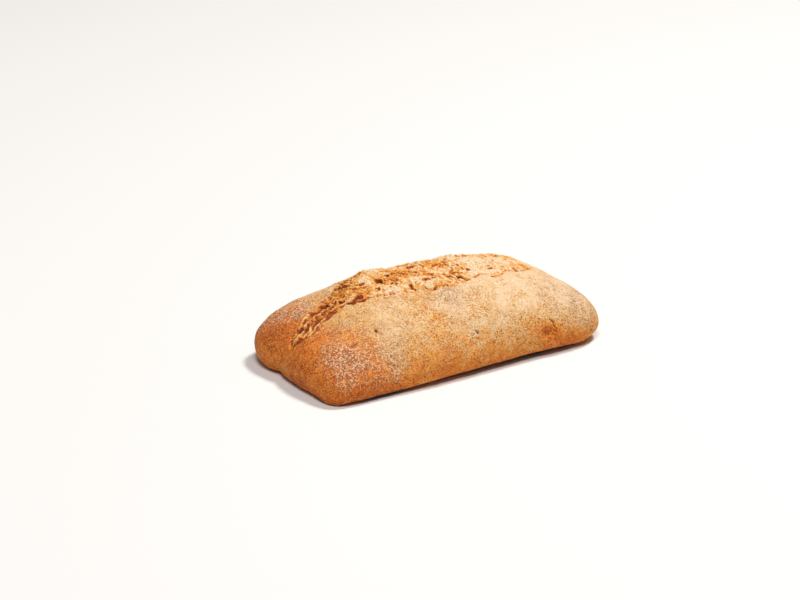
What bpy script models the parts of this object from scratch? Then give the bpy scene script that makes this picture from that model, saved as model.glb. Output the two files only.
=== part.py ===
"""Ciabatta: one whole loaf, a flat rounded rectangle with a burst seam along its top.

The loaf lies along X and stands on z = 0, highest a little right of its middle.
-Y is the long side with the even crust, -X the end that the seam runs down.
It is one closed solid. Crust, torn dough, lips, pits and end crease are relief in it.
"""

import bmesh
import bpy
import numpy as np
from mathutils import Vector, noise

# Overall form, in metres: half sizes at the widest level, and heights from there up and down
HALF_LENGTH = 0.116
HALF_WIDTH = 0.0564
WIDEST_Z = 0.011
DOME = 0.0405
BELLY = 0.021

# How the form leaves the plain pillow: wider towards -X, wide ends, ridge behind the middle line,
# dome lower towards the ends (first, second and third power of the length), ends leaning in
LEFT_TAPER = 0.084
END_SPREAD = 0.048
RIDGE_SHIFT = 0.0084
DOME_FALL = (-0.006, -0.119, -0.051)
END_LEAN = (-0.0012, -0.0049)

# Squareness of the outline seen from above, with more at the -X -Y corner, and of the section above
# and below the widest level, and how the outline's and the dome's change towards +X
PLAN_POWER = 4.5
PLAN_CHANGE = -0.083
CORNER_POWER = 3.0
DOME_POWER = 2.06
DOME_CHANGE = 0.11
BELLY_POWER = 3.1

# Rise towards +X, where the belly's curved edge shows, while the -X end meets the surface edge to
# edge, and how much longer the grid's sides are, so that they reach below that surface
TILT = 0.020
SIDE_DEPTH = 1.25

# The burst seam, one station a row: x, front lip y, back lip y, how sharply the lip is undercut
SEAM = (
    (-0.1165, -0.0022, 0.0002, 0.10),
    (-0.1110, -0.0010, 0.0025, 0.50),
    (-0.1030, -0.0035, 0.0085, 0.90),
    (-0.0930, -0.0055, 0.0140, 0.90),
    (-0.0830, -0.0030, 0.0180, 0.05),
    (-0.0730, -0.0005, 0.0215, 0.25),
    (-0.0640, -0.0020, 0.0285, 0.70),
    (-0.0540, -0.0060, 0.0360, 1.00),
    (-0.0380, -0.0095, 0.0385, 0.60),
    (-0.0180, -0.0140, 0.0360, 0.35),
    (0.0050, -0.0160, 0.0345, 0.30),
    (0.0330, -0.0145, 0.0325, 0.60),
    (0.0550, -0.0110, 0.0300, 0.50),
    (0.0750, -0.0040, 0.0275, 0.35),
    (0.0880, 0.0060, 0.0245, 0.20),
    (0.0980, 0.0150, 0.0200, 0.10),
    (0.1030, 0.0178, 0.0182, 0.05),
)

# Where the seam ends, how far its dough and its lips take to fade out at each end, half the step
# from crust to torn dough, half the seam's width at its narrowest and widest, and how much its edges
# jag and fray
SEAM_ENDS = (-0.1130, 0.1030)
SEAM_FADE = (0.006, 0.009)
LIP_FADE = (0.008, 0.014)
LIP_STEP = 0.0009
NARROWEST = 0.0004
SEAM_HALF_WIDTH = 0.023
JAG = 0.0056
JAG_SIZE = 0.012
FRAY = 0.0026
FRAY_SIZE = 0.0038

# The torn dough stands proud of the crust along the middle and sinks below it in the narrow cleft,
# where it is pulled into strands
SEAM_RISE = 0.0019
CLEFT_DEPTH = 0.0030
CLEFT_END = -0.020
STRAND = 0.0010
STRAND_COUNT = 7.5
STRAND_SIZE = 0.030

# The groove along the lips, and the crust that curls up just outside it
LIP_GROOVE = 0.0017
LIP_WIDTH = 0.0017
LIP_SIZE = 0.014
LIP_CURL = 0.0005
CURL_PLACE = 0.0032
CURL_WIDTH = 0.0022

# Relief of the torn dough: flat scraps with ragged edges, folds pulled across the seam, crags and
# pits, calmer along the back lip, craggier in places, and skewed by a slow drift
SCRAP = 0.0008
SCRAP_SIZE = (0.014, 0.018, 0.014)
SCRAP_LEVELS = 2.6
FOLD = 0.0006
FOLD_SIZE = (0.0058, 0.0170, 0.0110)
CRAG = 0.0009
CRAG_SIZE = (0.0046, 0.0060, 0.0052)
PIT = 0.0013
PIT_SIZE = 0.0075
PIT_SHARE = 0.20
RIDGE_CALM = 0.40
CRAGGY_SIZE = 0.022
DRIFT = 0.0040
DRIFT_SIZE = 0.012
DRIFT_SEEDS = (13.0, 17.0, 19.0)

# The crease down the end, from the seam's tip to the foot, where it has moved towards +Y, and where
# along x it begins and is full
CREASE_Y = -0.0020
CREASE_LEAN = 0.60
CREASE_TOP = 0.0240
CREASE_DEPTH = 0.0027
CREASE_WIDTH = 0.0052
CREASE_RUN = (-0.100, -0.110)

# Swellings and hollows of the crust: x, y, z, radius, height
LUMPS = (
    (-0.1120, -0.0500, 0.0020, 0.0140, 0.0032),
    (-0.1140, -0.0260, 0.0180, 0.0150, 0.0012),
    (-0.1120, 0.0260, 0.0170, 0.0170, 0.0010),
    (-0.0640, 0.0310, 0.0440, 0.0160, -0.0042),
    (-0.0330, 0.0240, 0.0500, 0.0220, 0.0018),
    (0.0130, 0.0140, 0.0540, 0.0120, -0.0018),
    (0.0230, 0.0190, 0.0530, 0.0090, -0.0012),
    (0.0640, 0.0080, 0.0490, 0.0280, 0.0012),
    (0.0920, 0.0120, 0.0350, 0.0180, 0.0008),
    (0.0600, -0.0533, 0.0138, 0.0046, -0.0026),
    (0.0580, -0.0500, 0.0215, 0.0090, 0.0008),
    (-0.0848, -0.0383, 0.0327, 0.0045, -0.0008),
    (-0.0300, -0.0500, 0.0200, 0.0240, 0.0008),
    (0.0250, -0.0400, 0.0380, 0.0260, 0.0006),
    (0.0850, 0.0450, 0.0200, 0.0220, 0.0010),
    (0.0960, -0.0450, -0.0020, 0.0190, 0.0019),
    (0.0480, -0.0560, 0.0020, 0.0360, -0.0018),
)

# Hollows and clefts torn open in the seam: x, y, reach along x, reach along y, depth
CAVES = (
    (-0.0757, 0.0158, 0.0032, 0.0040, 0.0026),
    (-0.0990, 0.0068, 0.0042, 0.0022, 0.0018),
    (-0.0590, -0.0022, 0.0070, 0.0026, 0.0018),
    (-0.0705, -0.0020, 0.0070, 0.0012, 0.0009),
    (-0.0354, 0.0092, 0.0032, 0.0042, 0.0022),
    (-0.0655, 0.0092, 0.0022, 0.0030, 0.0014),
    (-0.0660, 0.0215, 0.0060, 0.0020, 0.0014),
    (-0.0424, -0.0010, 0.0018, 0.0024, 0.0012),
    (-0.0340, -0.0020, 0.0018, 0.0024, 0.0012),
    (0.0221, 0.0022, 0.0020, 0.0034, 0.0014),
    (0.0266, -0.0060, 0.0018, 0.0026, 0.0012),
    (0.0438, -0.0070, 0.0045, 0.0024, 0.0012),
    (-0.0060, 0.0190, 0.0060, 0.0050, 0.0016),
    (0.0400, 0.0240, 0.0070, 0.0040, 0.0018),
)

CAVE_RAGGED = 0.0032
CAVE_RAGGED_SIZE = 0.0048

# Strands of dough pulled along the cleft and a flap's edge: from x, y to x, y, half width, height
STRANDS = (
    ((-0.0900, 0.0085), (-0.1065, 0.0003), 0.0012, 0.0022),
    ((-0.0880, 0.0150), (-0.1030, 0.0058), 0.0011, 0.0014),
    ((-0.0840, -0.0010), (-0.0990, -0.0036), 0.0012, 0.0013),
    ((-0.0760, 0.0030), (-0.0620, 0.0014), 0.0015, 0.0014),
    ((-0.1070, 0.0005), (-0.1095, 0.0000), 0.0022, 0.0018),
)

# Broad swell and small ripple of the whole crust
SWELL = 0.0010
SWELL_SIZE = 0.034
RIPPLE = 0.00045
RIPPLE_SIZE = 0.012

# The tuck under the foot, which leaves a low dark gap: its depth and height, where along x it begins, is
# full, fades and ends, and where it gets lower towards the ends: from x, to x, share taken off
FOOT_TUCK = 0.0085
FOOT_HEIGHT = 0.0050
FOOT_RUN = (-0.110, -0.092, 0.085, 0.112)
FOOT_STEPS = ((-0.020, -0.070, 0.4), (0.065, 0.100, 0.6))

# The solid's grid and triangles, and its colour
GRID = (160, 80, 60)
TRIANGLES = 11900
CRUST = (0.56, 0.28, 0.10, 1.0)


def smooth(low, high, value):
    """0 at low, 1 at high, with an eased step between them."""
    t = np.clip((value - low) / (high - low), 0.0, 1.0)
    return t * t * (3.0 - 2.0 * t)


def spline(rows, column, x):
    """Smooth curve through one column of a table whose first column is x."""
    table = np.array(rows)
    knots, values = table[:, 0], table[:, column]
    slopes = np.gradient(values, knots)
    i = np.clip(np.searchsorted(knots, x) - 1, 0, len(knots) - 2)
    span = knots[i + 1] - knots[i]
    t = np.clip((x - knots[i]) / span, 0.0, 1.0)
    rise = values[i + 1] - values[i]
    start = slopes[i] * span - rise
    end = rise - slopes[i + 1] * span
    return values[i] + rise * t + t * (1.0 - t) * (start * (1.0 - t) + end * t)


def wave(places, size, seed=0.0):
    """Smooth noise from -1 to 1 with lumps of about that size in metres, along each axis or all."""
    scaled = places / np.array(size) + seed
    return np.array([noise.noise(Vector(place)) for place in scaled])


def cells(places, size, seed=0.0):
    """Distance to the border of a place's cell and to its centre, in cell sizes, and the cell's own draw."""
    scaled = places / np.array(size) + seed
    border, middle, draw = [], [], []
    for place in scaled:
        distances, centres = noise.voronoi(Vector(place))
        border.append(distances[1] - distances[0])
        middle.append(distances[0])
        draw.append(noise.cell(centres[0] * 7.3))
    return np.array(border), np.array(middle), np.array(draw)


def open_box(counts):
    """Points and quads of a cube's surface from -1 to 1, without its underside and with longer sides."""
    index = {}
    points = []
    quads = []

    def corner(key):
        if key not in index:
            index[key] = len(points)
            points.append([2.0 * k / n - 1.0 for k, n in zip(key, counts)])
        return index[key]

    for axis, side in ((0, 0), (0, 1), (1, 0), (1, 1), (2, 1)):
        u_axis, v_axis = (axis + 1) % 3, (axis + 2) % 3
        for u in range(counts[u_axis]):
            for v in range(counts[v_axis]):
                ring = []
                for du, dv in ((0, 0), (1, 0), (1, 1), (0, 1)):
                    key = [0, 0, 0]
                    key[axis] = side * counts[axis]
                    key[u_axis] = u + du
                    key[v_axis] = v + dv
                    ring.append(corner(tuple(key)))
                quads.append(ring if side else ring[::-1])
    points = np.array(points)
    points[:, 2] = 1.0 - SIDE_DEPTH * (1.0 - points[:, 2])
    return points, quads


def loaf_form(p):
    """The loaf's smooth form, from points on the cube."""
    x, y, z = p.T
    corner = smooth(0.3, 1.0, -x) * smooth(0.3, 1.0, -y) * smooth(0.8, -0.2, z)
    plan_power = PLAN_POWER + PLAN_CHANGE * x + CORNER_POWER * corner
    rise_power = np.where(z > 0.0, DOME_POWER + DOME_CHANGE * x, BELLY_POWER)
    plan = (np.abs(x) ** plan_power + np.abs(y) ** plan_power) ** (1.0 / plan_power)
    reach = (plan**rise_power + np.abs(z) ** rise_power) ** (1.0 / rise_power)
    u, v, w = x / reach, y / reach, z / reach
    width = HALF_WIDTH * (1.0 - LEFT_TAPER * u + END_SPREAD * u * u)
    dome = DOME * (1.0 + DOME_FALL[0] * u + DOME_FALL[1] * u**2 + DOME_FALL[2] * u**3)
    lean = np.where(u < 0.0, END_LEAN[0], END_LEAN[1]) * u * u
    along = HALF_LENGTH * u + lean * w
    across = width * v + RIDGE_SHIFT * np.clip(w, 0.0, 1.0)
    height = WIDEST_Z + np.where(w > 0.0, dome, BELLY) * w
    return np.stack([along, across, height], 1)


def tilted(q):
    """Turned about the foot of the -X end, so that the +X end stands higher."""
    x, y, z = q.T
    return np.stack([x - TILT * z, y, z + TILT * (x + HALF_LENGTH)], 1)


def seam_run(x, fade):
    """1 along the seam, and 0 past its ends, with a fade of its own length at each end."""
    start, end = SEAM_ENDS
    return smooth(start, start + fade[0], x) * smooth(end, end - fade[1], x)


def seam_place(q, top):
    """Place across the seam, from -1 at its front lip to 1 at its back one, half width, and 1 inside."""
    x, y = q[:, 0], q[:, 1]
    front = spline(SEAM, 1, x)
    back = spline(SEAM, 2, x)
    ragged = JAG * wave(q, JAG_SIZE, 3.0) + FRAY * wave(q, FRAY_SIZE)
    ragged *= smooth(0.0, SEAM_HALF_WIDTH, back - front)
    front += ragged
    back += ragged
    half = np.maximum((back - front) / 2.0, NARROWEST)
    across = (y - (front + back) / 2.0) / half
    inside = smooth(-LIP_STEP, LIP_STEP, half * (1.0 - np.abs(across))) * top * seam_run(x, SEAM_FADE)
    return across, half, inside


def torn_relief(q, across):
    """Relief of the torn dough in the seam's open part, lower along the ridge at its back lip."""
    drift = np.stack([wave(q, DRIFT_SIZE, seed) for seed in DRIFT_SEEDS], 1)
    skew = q + DRIFT * drift
    level = SCRAP_LEVELS * wave(skew, SCRAP_SIZE)
    step = np.floor(level) + smooth(0.60, 1.0, level - np.floor(level))
    fold = 1.0 - 2.2 * np.abs(wave(skew + 0.25 * q[:, [1, 0, 2]], FOLD_SIZE, 5.0))
    craggy = smooth(-0.20, 0.40, wave(q, CRAGGY_SIZE, 9.0) + 0.20 * across)
    border, middle, _ = cells(skew, CRAG_SIZE, 7.0)
    crag = smooth(0.0, 0.5, border) - middle
    _, middle, draw = cells(skew, PIT_SIZE, 2.0)
    pit = (draw < PIT_SHARE) * smooth(0.32, 0.14, middle)
    rough = SCRAP * step + FOLD * fold + CRAG * crag * (0.10 + 0.90 * craggy) - PIT * pit
    return rough * (1.0 - RIDGE_CALM * smooth(0.1, 0.8, across))


def cave_depth(q):
    """Depth of the hollows torn open in the seam, with ragged edges."""
    x = q[:, 0] + CAVE_RAGGED * wave(q, CAVE_RAGGED_SIZE, 6.0)
    y = q[:, 1] + CAVE_RAGGED * wave(q, CAVE_RAGGED_SIZE, 8.0)
    total = np.zeros(len(q))
    for cave_x, cave_y, reach_x, reach_y, depth in CAVES:
        gap = np.hypot((x - cave_x) / reach_x, (y - cave_y) / reach_y)
        total += depth * smooth(1.0, 0.25, gap)
    return total


def relief(q, normal):
    """Height to add along the normal of the smooth form, and 0 to 1 for torn dough."""
    x, y, z = q.T
    top = smooth(0.0, 0.35, normal[:, 2] + 0.9 * smooth(-0.095, -0.112, x))
    across, half, inside = seam_place(q, top)
    wide = smooth(0.2, 0.9, half / SEAM_HALF_WIDTH)
    cleft = (1.0 - wide) * smooth(CLEFT_END, CLEFT_END - 0.040, x)
    bow = np.clip(1.0 - across**2, 0.0, 1.0)
    lift = inside * (SEAM_RISE * wide * bow**0.7 - CLEFT_DEPTH * cleft * bow)
    lift += inside * (0.1 + 0.9 * wide) * torn_relief(q, across)
    strand = np.cos(STRAND_COUNT * across + 3.0 * wave(q, STRAND_SIZE, 4.0))
    lift += inside * STRAND * strand * cleft * bow

    to_lip = (1.0 - np.abs(across)) * half
    lips = top * seam_run(x, LIP_FADE)
    open_lip = spline(SEAM, 3, x) * (0.45 + 1.5 * np.abs(wave(q, LIP_SIZE, 1.0)))
    lift -= LIP_GROOVE * open_lip * lips * np.exp(-((to_lip / LIP_WIDTH) ** 2))
    curl = np.exp(-(((to_lip + CURL_PLACE) / CURL_WIDTH) ** 2))
    lift += LIP_CURL * curl * lips * smooth(0.02, -0.03, x)
    lift -= cave_depth(q) * top

    for (start_x, start_y), (end_x, end_y), half_width, height in STRANDS:
        run_x, run_y = end_x - start_x, end_y - start_y
        t = np.clip(((x - start_x) * run_x + (y - start_y) * run_y) / (run_x**2 + run_y**2), 0.0, 1.0)
        gap = np.hypot(x - start_x - t * run_x, y - start_y - t * run_y) / half_width
        lift += height * np.exp(-(gap**2)) * top

    crease_y = CREASE_Y + CREASE_LEAN * np.clip(CREASE_TOP - z, 0.0, 1.0)
    crease = np.exp(-(np.abs((y - crease_y) / CREASE_WIDTH) ** 1.4))
    crease *= smooth(*CREASE_RUN, x) * smooth(CREASE_TOP + 0.006, CREASE_TOP - 0.001, z)
    lift -= CREASE_DEPTH * crease * (0.6 + 0.4 * smooth(0.0, 0.012, z))
    for lump_x, lump_y, lump_z, radius, height in LUMPS:
        gap = ((x - lump_x) ** 2 + (y - lump_y) ** 2 + (z - lump_z) ** 2) / radius**2
        lift += height * np.exp(-gap)
    lift += SWELL * wave(q, SWELL_SIZE, 11.0)
    lift += RIPPLE * (1.0 - inside) * wave(q, RIPPLE_SIZE, 5.0)
    return lift, inside


def tucked(q, normal):
    """Drawn in level near the foot, which leaves a low gap under the rim."""
    x, _, z = q.T
    level = z + TILT * (x + HALF_LENGTH)
    start, full, fade, end = FOOT_RUN
    height = np.full(len(q), FOOT_HEIGHT)
    for near, far, drop in FOOT_STEPS:
        height *= 1.0 - drop * smooth(near, far, x)
    tuck = FOOT_TUCK * smooth(start, full, x) * smooth(end, fade, x) * smooth(height, 0.0, level)
    outward = normal[:, :2] / np.maximum(np.hypot(normal[:, 0], normal[:, 1]), 1e-6)[:, None]
    return np.column_stack([q[:, :2] - tuck[:, None] * outward, z])


def build_loaf():
    points, quads = open_box(GRID)
    mesh = bpy.data.meshes.new("ciabatta")
    form = loaf_form(points)
    mesh.from_pydata(form.tolist(), [], quads)
    normals = np.empty(len(form) * 3, np.float32)
    mesh.vertices.foreach_get("normal", normals)
    normals = normals.reshape(-1, 3).astype(float)
    lift, _ = relief(form, normals)
    shape = tilted(tucked(form + normals * lift[:, None], normals))
    mesh.vertices.foreach_set("co", shape.ravel())
    mesh.update()
    loaf = bpy.data.objects.new("ciabatta", mesh)
    bpy.context.scene.collection.objects.link(loaf)
    return loaf


def flatten_foot(loaf):
    """Cuts the loaf level at z = 0 and closes it with one flat face."""
    mesh = bmesh.new()
    mesh.from_mesh(loaf.data)
    parts = mesh.verts[:] + mesh.edges[:] + mesh.faces[:]
    cut = bmesh.ops.bisect_plane(
        mesh, geom=parts, dist=1e-6, plane_co=(0, 0, 0), plane_no=(0, 0, -1), clear_outer=True
    )
    rim = [item for item in cut["geom_cut"] if isinstance(item, bmesh.types.BMEdge)]
    for vertex in {vertex for edge in rim for vertex in edge.verts}:
        vertex.co.z = 0.0
    bmesh.ops.contextual_create(mesh, geom=rim)
    bmesh.ops.dissolve_degenerate(mesh, dist=2e-5, edges=mesh.edges[:])
    bmesh.ops.recalc_face_normals(mesh, faces=mesh.faces[:])
    mesh.to_mesh(loaf.data)
    mesh.free()


def thin_out(loaf, triangles):
    """Fewer triangles, with the small ones kept where the surface is craggy."""
    loaf.data.calc_loop_triangles()
    thin = loaf.modifiers.new("thin", "DECIMATE")
    thin.ratio = triangles / len(loaf.data.loop_triangles)
    graph = bpy.context.evaluated_depsgraph_get()
    mesh = bpy.data.meshes.new_from_object(loaf.evaluated_get(graph))
    loaf.modifiers.clear()
    loaf.data = mesh


def centre(loaf):
    """Puts the origin under the middle of the loaf's bounding box."""
    points = np.array([vertex.co[:] for vertex in loaf.data.vertices])
    middle = (points.min(0) + points.max(0)) / 2.0
    points -= np.array([middle[0], middle[1], 0.0])
    loaf.data.vertices.foreach_set("co", points.ravel())
    loaf.data.update()


def crust_material():
    material = bpy.data.materials.new("baked_crust")
    material.use_nodes = True
    surface = material.node_tree.nodes["Principled BSDF"]
    surface.inputs["Base Color"].default_value = CRUST
    surface.inputs["Roughness"].default_value = 0.8
    surface.inputs["Metallic"].default_value = 0.0
    return material


for leftover in list(bpy.data.objects):
    bpy.data.objects.remove(leftover, do_unlink=True)

ciabatta = build_loaf()
thin_out(ciabatta, TRIANGLES)
flatten_foot(ciabatta)
centre(ciabatta)
for face in ciabatta.data.polygons:
    face.use_smooth = True
ciabatta.data.materials.append(crust_material())
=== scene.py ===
"""Ciabatta, dressed: the loaf's fine surface, its baked and floured colours with painted light and shade,
and a plain pale floor.
"""

import math

import bmesh
import bpy
import numpy as np
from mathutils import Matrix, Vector, noise


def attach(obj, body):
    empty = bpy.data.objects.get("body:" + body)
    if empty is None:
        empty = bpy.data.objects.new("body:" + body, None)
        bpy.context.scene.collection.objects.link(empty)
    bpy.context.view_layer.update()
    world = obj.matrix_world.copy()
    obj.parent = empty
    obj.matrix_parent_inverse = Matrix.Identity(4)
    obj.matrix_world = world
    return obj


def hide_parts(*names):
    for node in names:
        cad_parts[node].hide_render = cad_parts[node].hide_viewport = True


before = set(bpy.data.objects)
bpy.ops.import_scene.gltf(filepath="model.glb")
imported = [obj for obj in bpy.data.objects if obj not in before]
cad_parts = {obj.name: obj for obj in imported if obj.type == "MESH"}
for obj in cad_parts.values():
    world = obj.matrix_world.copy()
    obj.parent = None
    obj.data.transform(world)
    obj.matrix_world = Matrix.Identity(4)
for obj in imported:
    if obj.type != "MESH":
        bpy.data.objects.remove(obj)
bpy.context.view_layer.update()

# Lengths are in metres, and places are the loaf's own, before build_loaf moves it to where the solid
# stands. Overall form: half sizes at the widest level, and heights from there up and down
HALF_LENGTH = 0.116
HALF_WIDTH = 0.0564
WIDEST_Z = 0.011
DOME = 0.0405
BELLY = 0.021

# How the form leaves the plain pillow: wider towards -X, wide ends, ridge behind the middle line,
# dome lower towards the ends (first, second and third power of the length), ends leaning in
LEFT_TAPER = 0.084
END_SPREAD = 0.048
RIDGE_SHIFT = 0.0084
DOME_FALL = (-0.006, -0.119, -0.051)
END_LEAN = (-0.0012, -0.0049)

# Squareness of the outline seen from above, with more at the -X -Y corner, and of the section above
# and below the widest level, and how the outline's and the dome's change towards +X
PLAN_POWER = 4.5
PLAN_CHANGE = -0.083
CORNER_POWER = 3.0
DOME_POWER = 2.06
DOME_CHANGE = 0.11
BELLY_POWER = 3.1

# How far that corner's extra reaches on the cube of open_box: where it begins and is full, level and
# downwards
CORNER_REACH = (0.3, 1.0)
CORNER_DROP = (0.8, -0.2)

# Rise towards +X, where the belly's curved edge shows, while the -X end meets the surface edge to
# edge, and how much longer the grid's sides are, so that they reach below that surface
TILT = 0.020
SIDE_DEPTH = 1.25

# The burst seam, one station a row: x, front lip y, back lip y, how deep the groove along the lips is
SEAM = (
    (-0.1165, -0.0022, 0.0002, 0.10),
    (-0.1110, -0.0010, 0.0025, 0.50),
    (-0.1030, -0.0035, 0.0085, 0.90),
    (-0.0930, -0.0055, 0.0140, 0.90),
    (-0.0830, -0.0030, 0.0180, 0.05),
    (-0.0730, -0.0005, 0.0215, 0.25),
    (-0.0640, -0.0020, 0.0285, 0.70),
    (-0.0540, -0.0060, 0.0360, 1.00),
    (-0.0380, -0.0095, 0.0385, 0.60),
    (-0.0180, -0.0140, 0.0360, 0.35),
    (0.0050, -0.0160, 0.0345, 0.30),
    (0.0330, -0.0145, 0.0325, 0.60),
    (0.0550, -0.0110, 0.0300, 0.50),
    (0.0750, -0.0040, 0.0275, 0.35),
    (0.0880, 0.0060, 0.0245, 0.20),
    (0.0980, 0.0150, 0.0200, 0.10),
    (0.1030, 0.0178, 0.0182, 0.05),
)

# Where the seam ends, how far its dough and its lips take to fade out at each end, half the step
# from crust to torn dough, half the seam's width at its narrowest and widest, and how much its edges
# jag and fray
SEAM_ENDS = (-0.1130, 0.1030)
SEAM_FADE = (0.006, 0.009)
LIP_FADE = (0.008, 0.014)
LIP_STEP = 0.0009
NARROWEST = 0.0004
SEAM_HALF_WIDTH = 0.023
JAG = 0.0056
JAG_SIZE = 0.012
FRAY = 0.0026
FRAY_SIZE = 0.0038

# The seam shows where the surface faces up, in full from this much on, and towards the -X end, from x
# to x, the surface counts as facing up by so much more
FACING_UP = 0.35
END_RUN = (-0.095, -0.112)
END_HELP = 0.9

# The torn dough stands proud of the crust where the seam is wide, by a share of its greatest half width,
# and sinks below it in the narrow cleft, which has less relief and is pulled into strands
WIDE_SPAN = (0.2, 0.9)
SEAM_RISE = 0.0019
RISE_POWER = 0.7
CLEFT_DEPTH = 0.0030
CLEFT_END = -0.020
CLEFT_FADE = 0.040
CLEFT_RELIEF = 0.1
STRAND = 0.0010
STRAND_COUNT = 7.5
STRAND_SWAY = 3.0
STRAND_SIZE = 0.030

# The groove along the lips, uneven in depth, and the crust that curls up just outside it, from where to
# where along x
LIP_GROOVE = 0.0017
LIP_WIDTH = 0.0017
LIP_LEAST = 0.45
LIP_CHANGE = 1.5
LIP_SIZE = 0.014
LIP_CURL = 0.0005
CURL_PLACE = 0.0032
CURL_WIDTH = 0.0022
CURL_RUN = (0.02, -0.03)

# Relief of the torn dough: flat scraps with ragged edges, folds pulled across the seam, crags and
# pits, calmer along the back lip, craggier in places, and skewed by a slow drift. An edge says where in
# a scrap or a cell its relief begins and is full.
SCRAP = 0.0008
SCRAP_SIZE = (0.014, 0.018, 0.014)
SCRAP_LEVELS = 2.6
SCRAP_EDGE = (0.60, 1.0)
FOLD = 0.0006
FOLD_SIZE = (0.0058, 0.0170, 0.0110)
FOLD_SHARPNESS = 2.2
FOLD_SKEW = 0.25
CRAG = 0.0009
CRAG_SIZE = (0.0046, 0.0060, 0.0052)
CRAG_EDGE = (0.0, 0.5)
PIT = 0.0013
PIT_SIZE = 0.0075
PIT_SHARE = 0.20
PIT_EDGE = (0.32, 0.14)
RIDGE_CALM = 0.40
RIDGE_SPAN = (0.1, 0.8)
CRAGGY_SIZE = 0.022
CRAGGY_SPAN = (-0.20, 0.40)
CRAGGY_LEAN = 0.20
CRAGGY_LEAST = 0.10
DRIFT = 0.0040
DRIFT_SIZE = 0.012
DRIFT_SEEDS = (13.0, 17.0, 19.0)

# The crease down the end, from the seam's tip to the foot, where it has moved towards +Y and is
# shallower, how sharp it is, how it fades above its top, and where along x it begins and is full
CREASE_Y = -0.0020
CREASE_LEAN = 0.60
CREASE_TOP = 0.0240
CREASE_FADE = (0.006, -0.001)
CREASE_DEPTH = 0.0027
CREASE_WIDTH = 0.0052
CREASE_POWER = 1.4
CREASE_RUN = (-0.100, -0.110)
CREASE_FOOT = 0.6
CREASE_FOOT_HEIGHT = 0.012

# Swellings and hollows of the crust: x, y, z, radius, height
LUMPS = (
    (-0.1120, -0.0500, 0.0020, 0.0140, 0.0032),
    (-0.1140, -0.0260, 0.0180, 0.0150, 0.0012),
    (-0.1120, 0.0260, 0.0170, 0.0170, 0.0010),
    (-0.0640, 0.0310, 0.0440, 0.0160, -0.0042),
    (-0.0330, 0.0240, 0.0500, 0.0220, 0.0018),
    (0.0130, 0.0140, 0.0540, 0.0120, -0.0018),
    (0.0230, 0.0190, 0.0530, 0.0090, -0.0012),
    (0.0640, 0.0080, 0.0490, 0.0280, 0.0012),
    (0.0920, 0.0120, 0.0350, 0.0180, 0.0008),
    (0.0600, -0.0533, 0.0138, 0.0046, -0.0026),
    (0.0580, -0.0500, 0.0215, 0.0090, 0.0008),
    (-0.0848, -0.0383, 0.0327, 0.0045, -0.0008),
    (-0.0300, -0.0500, 0.0200, 0.0240, 0.0008),
    (0.0250, -0.0400, 0.0380, 0.0260, 0.0006),
    (0.0850, 0.0450, 0.0200, 0.0220, 0.0010),
    (0.0960, -0.0450, -0.0020, 0.0190, 0.0019),
    (0.0480, -0.0560, 0.0020, 0.0360, -0.0018),
)

# Hollows and clefts torn open in the seam: x, y, reach along x, reach along y, depth
CAVES = (
    (-0.0757, 0.0158, 0.0032, 0.0040, 0.0026),
    (-0.0990, 0.0068, 0.0042, 0.0022, 0.0018),
    (-0.0590, -0.0022, 0.0070, 0.0026, 0.0018),
    (-0.0705, -0.0020, 0.0070, 0.0012, 0.0009),
    (-0.0354, 0.0092, 0.0032, 0.0042, 0.0022),
    (-0.0655, 0.0092, 0.0022, 0.0030, 0.0014),
    (-0.0660, 0.0215, 0.0060, 0.0020, 0.0014),
    (-0.0424, -0.0010, 0.0018, 0.0024, 0.0012),
    (-0.0340, -0.0020, 0.0018, 0.0024, 0.0012),
    (0.0221, 0.0022, 0.0020, 0.0034, 0.0014),
    (0.0266, -0.0060, 0.0018, 0.0026, 0.0012),
    (0.0438, -0.0070, 0.0045, 0.0024, 0.0012),
    (-0.0060, 0.0190, 0.0060, 0.0050, 0.0016),
    (0.0400, 0.0240, 0.0070, 0.0040, 0.0018),
)

# How ragged the hollows' edges are, and where in its reach a hollow begins and is full
CAVE_RAGGED = 0.0032
CAVE_RAGGED_SIZE = 0.0048
CAVE_EDGE = (1.0, 0.25)

# Strands of dough pulled along the cleft and a flap's edge: from x, y to x, y, half width, height
STRANDS = (
    ((-0.0900, 0.0085), (-0.1065, 0.0003), 0.0012, 0.0022),
    ((-0.0880, 0.0150), (-0.1030, 0.0058), 0.0011, 0.0014),
    ((-0.0840, -0.0010), (-0.0990, -0.0036), 0.0012, 0.0013),
    ((-0.0760, 0.0030), (-0.0620, 0.0014), 0.0015, 0.0014),
    ((-0.1070, 0.0005), (-0.1095, 0.0000), 0.0022, 0.0018),
)

# What a noise cell's middle is multiplied by for its draw, so that neighbouring cells draw differently
DRAW_STEP = 7.3

# Broad swell and small ripple of the whole crust
SWELL = 0.0010
SWELL_SIZE = 0.034
RIPPLE = 0.00045
RIPPLE_SIZE = 0.012

# The tuck under the foot, which leaves a low dark gap: its depth and height, where along x it begins,
# is full, fades and ends, and where it gets lower towards the ends: from x, to x, share taken off
FOOT_TUCK = 0.0085
FOOT_HEIGHT = 0.0050
FOOT_RUN = (-0.110, -0.092, 0.085, 0.112)
FOOT_STEPS = ((-0.020, -0.070, 0.4), (0.065, 0.100, 0.6))

# Finer than the solid: grid cells along the length, the width and the height
FINE_GRID = (214, 108, 76)

# Faces that are split once more: how far beyond the lips, above which height and up to where along x,
# and how near to a crack
SPLIT_BEYOND = 0.004
SPLIT_ABOVE = 0.014
SPLIT_END = 0.101
SPLIT_NEAR = 0.003

# Relief that only the fine surface holds: blisters of the crust, crumb of the torn dough, and how much
# the cracks waver
BLISTER = 0.00016
BLISTER_SIZE = 0.0042
CRUMB = 0.00030
CRUMB_SIZE = 0.0021
WAVER = 0.0009
WAVER_SIZE = 0.0024
WAVER_SEEDS = (51.0, 52.0, 53.0)
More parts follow.
